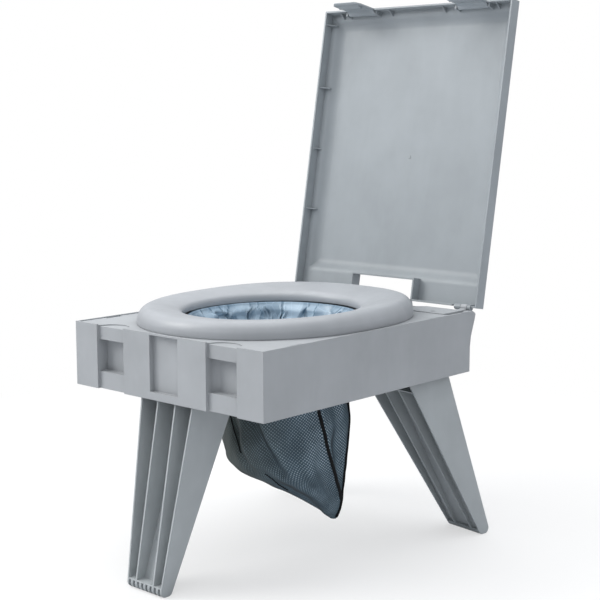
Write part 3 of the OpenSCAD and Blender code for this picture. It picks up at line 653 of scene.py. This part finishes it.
def bag_surface(heights, columns, inset):
    """Points of the folded bag, drawn in by inset."""
    z, angle = np.meshgrid(heights, turn(columns), indexing="ij")
    centre_x, centre_y, half_x, half_y = bag_section(z)
    half_x = np.maximum(half_x - inset, 1.2)
    half_y = np.maximum(half_y - inset, 1.2)
    out_x, out_y = oval(angle, 1, centre_y=0, front=1, rear=1, power=2.15)
    x = centre_x + half_x * out_x
    y = centre_y + half_y * out_y

    # fine gathers at the top, then broad waves and wrinkles that fade towards the tip
    body = smoothstep(z, -8, -70)
    above_tip = 1 - smoothstep(z, -250, -322)
    uneven = angle + 0.35 * np.sin(2 * angle + 0.6)
    gathers = 2.6 * np.sin(17 * uneven + 0.9 * np.sin(3 * angle))
    push = gathers * (1 - smoothstep(z, -20, -120))
    push += 2.2 * np.sin(9 * uneven + z / 38.0) * body * above_tip
    push += 2.0 * np.sin(5 * angle - z / 24.0 + 1.2) * smoothstep(z, -110, -190) * above_tip
    push += 5.0 * wrinkle(x, y, z, scale=46.0, seed=3.0) * body * above_tip
    push += 2.2 * wrinkle(x, y, z * 0.55, scale=19.0, seed=10.0) * body * above_tip

    right, near = corner_view(x, y)
    folds = sum(fold_groove(right, z, *fold) for fold in FOLDS)
    push -= folds * smoothstep(near, -15, 25) * (1 - 0.6 * (1 - body))
    limit = 0.22 * np.minimum(half_x, half_y)
    push = np.clip(push, -limit, limit)
    length = np.maximum(1e-6, np.hypot(out_x, out_y))
    x = x + out_x / length * push
    y = y + out_y / length * push

    # the cloth is stretched straight from the rim to the low corner on its right side
    depths, rights = np.array(RIGHT_LIMIT, float).T
    soft_limit = np.interp(-z, depths, rights) - inset - LIMIT_SOFTNESS
    over = np.maximum(corner_view(x, y)[0] - soft_limit, 0)
    cut = over - LIMIT_SOFTNESS * np.tanh(over / LIMIT_SOFTNESS)
    return np.stack([x - cut * VIEW_RIGHT[0], y - cut * VIEW_RIGHT[1], z], 2)


def path_lengths(points):
    """Running length along points, in metres."""
    steps = np.linalg.norm(np.diff(points, axis=0), axis=1)
    return np.concatenate([[0], np.cumsum(steps)]) / 1000


def bag_uv(points):
    """Arc-length layout so that the knit keeps one size."""
    rows, columns = points.shape[:2]
    ring = points[rows // 3]
    return path_lengths(np.concatenate([ring, ring[:1]])), path_lengths(points[:, columns // 8])


def hang(obj, material, replaced=None):
    """Give a hanging piece its material, hide the CAD piece it replaces and attach it to the
    case.
    """
    obj.data.materials.append(material)
    if replaced:
        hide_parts(replaced)
    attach(obj, "case")
    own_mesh(obj)


# rows lie closer together towards the tip
bag_rise = (1 - np.linspace(0, 1, BAG_ROWS)) ** 1.25
bag_heights = BAG_TOP + (BAG_BOTTOM - BAG_TOP) * (1 - bag_rise)
bag_points = bag_surface(bag_heights, BAG_COLUMNS, inset=0.0)
bag = grid_mesh("mesh_bag_net", bag_points, uv=bag_uv(bag_points), tip=True)
thicken(bag, 0.0006)
hang(bag, NET, "mesh_bag")


def bag_point(right, z):
    """The bag point on the viewer's side nearest to (right, z)."""
    row = bag_points[int(np.argmin(np.abs(bag_heights - z)))]
    rights, nears = corner_view(row[:, 0], row[:, 1])
    gaps = np.where(nears > np.median(nears), np.abs(rights - right), 1e9)
    return row[np.argmin(gaps)].copy()


def seam(name, radius, line):
    rights, heights = np.array(line, float).T
    steps = np.linspace(heights[0], heights[-1], SEAM_STEPS)
    path = []
    for right, z in zip(np.interp(-steps, -heights, rights), steps):
        point = bag_point(right, z)
        outward = point[:2] - np.array(bag_section(point[2])[:2])
        point[:2] += outward / max(1e-6, np.linalg.norm(outward)) * SEAM_STANDOFF
        path.append(point)
    path = np.array(path)
    for _ in range(4):
        path[1:-1] = (path[:-2] + 2 * path[1:-1] + path[2:]) / 4
    hang(tube(name, path, radius), PIPING)


for seam_name, seam_radius, seam_line in SEAMS:
    seam(seam_name, seam_radius, seam_line)

# ------------------------------------------------------------------ liner
LINER_COLUMNS = 640
MOUTH_Y = -12.5
LINER_RADIUS = 118       # turns angles into distances round the liner
# Turned-over lip: height, distance outside the mouth oval
LIP = [
    (-1.0, 4.6), (1.2, 5.0), (3.0, 4.6), (3.7, 3.0), (3.75, 1.0), (3.4, -0.8),
    (2.2, -1.9), (0.0, -2.5), (-3.0, -2.9),
]
LIP_PLEATED = 2          # the last lip rows, which take part in the pleats
# Heights where the pleats change course
LEVELS = np.array([5.0, -3, -11, -20, -31, -44, -60, -84, -120, -170, -230, -296])
CREASES = 46
PINCHED = 15             # creases with a sharp groove on either side


def draw_creases():
    """Random creases: angle, depth and painted panel shade by level and crease, and the pinched
    ones.
    """
    rng = np.random.RandomState(23)
    start = np.cumsum(rng.uniform(0.55, 1.6, CREASES))
    start = start / start[-1] * FULL_TURN
    outer = np.where(np.arange(CREASES) % 2 == 0, 0.0, 1.0)
    drift = np.zeros(CREASES)
    angles, depths = [], []
    for _ in LEVELS:
        drift = drift + rng.uniform(-0.062, 0.062, CREASES) * 1.3
        alternate = 9.5 * outer * rng.uniform(0.45, 1.15, CREASES)
        depths.append(-(2.2 + alternate + rng.uniform(0, 3.6, CREASES)))
        angles.append(start + drift)
    pinched = rng.choice(CREASES, PINCHED, replace=False)
    shape = (len(LEVELS), CREASES)
    is_dark = rng.uniform(0, 1, shape) < 0.46
    dark = rng.uniform(0.38, 0.72, shape)
    light = rng.uniform(0.0, 0.14, shape)
    return angles, depths, np.where(is_dark, dark, light), pinched


def pleat_push(around, creases, depths, pinched):
    """Flat panels between the creases, with grooves beside the pinched ones."""
    order = np.argsort(creases)
    angles, depths = creases[order], depths[order]
    angles = np.concatenate([angles - FULL_TURN, angles, angles + FULL_TURN])
    push = np.interp(around, angles, np.tile(depths, 3))
    for crease in creases[pinched]:
        gap = np.abs((around - crease + math.pi) % FULL_TURN - math.pi) * LINER_RADIUS
        push += -4.2 * np.clip(1 - np.abs(gap - 3.2) / 2.2, 0, 1)
    return push


def panel_shade(around, creases, panel_shades):
    """One shade per panel, with a dark line at each crease."""
    order = np.argsort(creases % FULL_TURN)
    angles = (creases % FULL_TURN)[order]
    i = np.searchsorted(angles, around, side="right") - 1
    offset = (around - angles[i]) % FULL_TURN
    panel = (angles[(i + 1) % CREASES] - angles[i]) % FULL_TURN + 1e-6
    shade = panel_shades[order][i] * (0.45 + 0.55 * offset / panel)
    strength = np.where(order[i] % 3 != 1, 1.0, 0.45)
    line = np.clip(1.5 - np.abs(offset * LINER_RADIUS - 1.2) / 1.5, 0, 1)
    return np.maximum(shade, strength * line)


def pleats(heights, around):
    """Push and shade of the pleated film, by height and angle."""
    angles, depths, panel_shades, pinched = draw_creases()
    push, shade = [], []
    for z in heights:
        k = int(np.clip(np.searchsorted(-LEVELS, -z) - 1, 0, len(LEVELS) - 2))
        t = float(np.clip((LEVELS[k] - z) / (LEVELS[k] - LEVELS[k + 1]), 0, 1))
        creases = angles[k] * (1 - t) + angles[k + 1] * t
        depth = depths[k] * (1 - t) + depths[k + 1] * t
        push.append(pleat_push(around, creases, depth, pinched))
        # the upper levels share one set of painted panel shades
        shade.append(panel_shade(around, creases, panel_shades[0] if k < 5 else panel_shades[k]))
    fade = smoothstep(heights, 3.5, -9) * (1 - 0.55 * smoothstep(heights, -70, -130))
    return np.array(push) * fade[:, None], np.array(shade)


def liner_surface():
    """Points of the liner, lip first, and the painted shade of the film at each."""
    around = turn(LINER_COLUMNS)

    def mouth(out):
        return oval(around, 124 + out, MOUTH_Y, front=125.5 + out, rear=134 + out, power=2.15)

    lip = np.array([np.stack([*mouth(out), np.full(LINER_COLUMNS, z)], 1) for z, out in LIP])
    lip_z = lip[:, :, 2]
    lip[:, :, 2] = np.where(lip_z > 2, lip_z * seat_lift(lip[:, :, 1]) * 1.08, lip_z)

    # the hanging part passes from the mouth oval to the bag's shape
    z = np.concatenate([-5 - 2.5 * np.arange(24), np.linspace(-67, -296, 58)])
    film_points = bag_surface(z, LINER_COLUMNS, inset=7.0)
    bag_share = smoothstep(z, -2, -34)[:, None]
    for axis, rim in enumerate(mouth(-3.2)):
        film_points[:, :, axis] = (rim[None, :] * (1 - bag_share)
                                   + film_points[:, :, axis] * bag_share)

    lip_heights = [height for height, _ in LIP[-LIP_PLEATED:]]
    push, shade = pleats(np.concatenate([lip_heights, z]), around)
    lip_push, push = push[:LIP_PLEATED], push[LIP_PLEATED:]
    crinkle = wrinkle(*np.moveaxis(film_points, 2, 0), scale=9.0, seed=5.0)
    push += 0.7 * crinkle * smoothstep(z, -2, -20)[:, None]
    push = np.clip(push, -16, -0.2) * (0.15 + 0.85 * smoothstep(z, -300, -250)[:, None])

    outward = lip[-LIP_PLEATED:, :, :2] - np.array([0, MOUTH_Y])
    outward /= np.linalg.norm(outward, axis=2, keepdims=True)
    lip[-LIP_PLEATED:, :, :2] += outward * np.clip(lip_push, -16, 0)[:, :, None]

    share = bag_share[:, 0]
    centre_x, centre_y = bag_section(z)[:2]
    centre = np.array([centre_x * share, MOUTH_Y * (1 - share) + centre_y * share]).T
    outward = film_points[:, :, :2] - centre[:, None, :]
    outward /= np.maximum(1e-6, np.linalg.norm(outward, axis=2, keepdims=True))
    film_points[:, :, :2] += outward * push[:, :, None]

    # painted shade: the lip is darker, most evenly along its inner edge
    lip_shade = 0.45 + 0.75 * np.repeat(shade[:1], len(lip) - LIP_PLEATED, 0)
    film_shade = np.concatenate([lip_shade, shade], 0)
    edge = np.clip(1 - np.abs(np.arange(len(film_shade)) - 5.0) / 1.6, 0, 1)[:, None] * 0.55
    film_shade = np.clip(np.maximum(film_shade, edge), 0, 1)
    return np.concatenate([lip, film_points], 0), film_shade


liner_points, liner_film_shade = liner_surface()
liner = grid_mesh("waste_liner_film", liner_points, tip=True)
# painted shade of the film, carried to its material as a mesh attribute
film_shade_layer = liner.data.attributes.new("film_shade", "FLOAT", "POINT")
TIP_FILM_SHADE = 0.3
film_shade_values = np.concatenate([liner_film_shade.ravel(), [TIP_FILM_SHADE]])
film_shade_layer.data.foreach_set("value", film_shade_values.astype(np.float32))
thicken(liner, 0.0004)
hang(liner, FILM, "waste_liner")


# ------------------------------------------------------------------ floor
def floor_paper():
    """White sheet that fades to plain white away from the object."""
    mat = Material("floor_paper")
    cloud = mat.remap(mat.noise(scale=3, detail=3, rough=0.5), span=(0.3, 0.7))
    mat.surface({
        "Base Color": mat.mix(cloud, (0.86, 0.86, 0.86), (0.88, 0.88, 0.88)),
        "Roughness": 0.95,
        "Specular IOR Level": 0.1,
    })
    distance = mat.node("VectorMath", {0: mat.place}, operation="LENGTH").outputs["Value"]
    fade = mat.remap(distance, span=(0.25, 1.3), to=(0.55, 1))
    seen = mat.blend(fade, mat.body, mat.node("Emission").outputs[0])
    # bounced light is held back so that undersides stay darker
    camera_ray = mat.node("LightPath").outputs["Is Camera Ray"]
    bounce = mat.node("BsdfDiffuse", {0: (0.62, 0.63, 0.65)}).outputs[0]
    mat.finish(mat.blend(camera_ray, bounce, seen))
    return mat.material


FLOOR = 8                # half its side, m
floor = new_object("floor", [(-FLOOR, -FLOOR, 0), (FLOOR, -FLOOR, 0), (FLOOR, FLOOR, 0),
                             (-FLOOR, FLOOR, 0)], [(0, 1, 2, 3)], smooth=False)
floor.data.materials.append(floor_paper())


# ------------------------------------------------------------------ world, lights, camera
def studio_world():
    """Cool light that grows with height; the camera itself sees plain white."""
    world = bpy.data.worlds.new("studio")
    bpy.context.scene.world = world
    world.use_nodes = True
    nodes = Nodes(world.node_tree)
    sky = world.node_tree.nodes["Background"]
    nodes.feed((0.93, 0.96, 1.0), sky.inputs["Color"])
    nodes.feed(0.85, sky.inputs["Strength"])     # holds only if the gradient is unlinked
    white = nodes.node("Background", {"Color": (1, 1, 1), "Strength": 1.0})
    coords = nodes.node("TexCoord").outputs["Generated"]
    height = nodes.node("SeparateXYZ", {0: coords}).outputs[2]
    strength = nodes.remap(height, span=(-0.25, 0.7), to=(0.28, 0.92))
    nodes.feed(strength, sky.inputs["Strength"])
    camera_ray = nodes.node("LightPath").outputs["Is Camera Ray"]
    mixed = nodes.blend(camera_ray, sky.outputs[0], white.outputs[0])
    nodes.feed(mixed, world.node_tree.nodes["World Output"].inputs[0])


def area(name, place, target, size, power, colour=(1, 1, 1)):
    """Disc light at place, facing target."""
    light = bpy.data.lights.new(name, "AREA")
    light.shape = "DISK"
    light.size = size
    light.energy = power
    light.color = colour
    obj = bpy.data.objects.new(name, light)
    obj.location = place
    aim = Vector(target) - Vector(place)
    obj.rotation_euler = aim.to_track_quat("-Z", "Y").to_euler()
    bpy.context.scene.collection.objects.link(obj)


def add_camera(place, azimuth, elevation):
    """Camera at place; the angles, in degrees, give the direction it looks back from."""
    lens = bpy.data.cameras.new("camera")
    obj = bpy.data.objects.new("camera", lens)
    bpy.context.scene.collection.objects.link(obj)
    bpy.context.scene.camera = obj
    lens.sensor_width = 36
    lens.lens = 76.62
    lens.shift_x = 0.0039
    lens.shift_y = 0.0235
    lens.clip_start = 0.02
    azimuth, elevation = math.radians(azimuth), math.radians(elevation)
    back = Vector((math.sin(azimuth) * math.cos(elevation),
                   -math.cos(azimuth) * math.cos(elevation), math.sin(elevation)))
    obj.location = place
    obj.rotation_euler = back.to_track_quat("Z", "Y").to_euler()


studio_world()
area("key", place=(-1.9, -2.0, 2.4), target=(0, 0, 0.4), size=1.8, power=56,
     colour=(1.0, 0.99, 0.97))
area("fill", place=(2.4, -1.2, 1.6), target=(0, 0, 0.35), size=2.0, power=0.5,
     colour=(0.93, 0.96, 1.0))
area("top", place=(-0.3, 0.0, 3.0), target=(0, 0, 0.4), size=3.6, power=48)
add_camera(row_point(1340.09, -1449.55, 304.40), azimuth=41.862, elevation=8.686)
bpy.context.scene.view_settings.view_transform = "Standard"
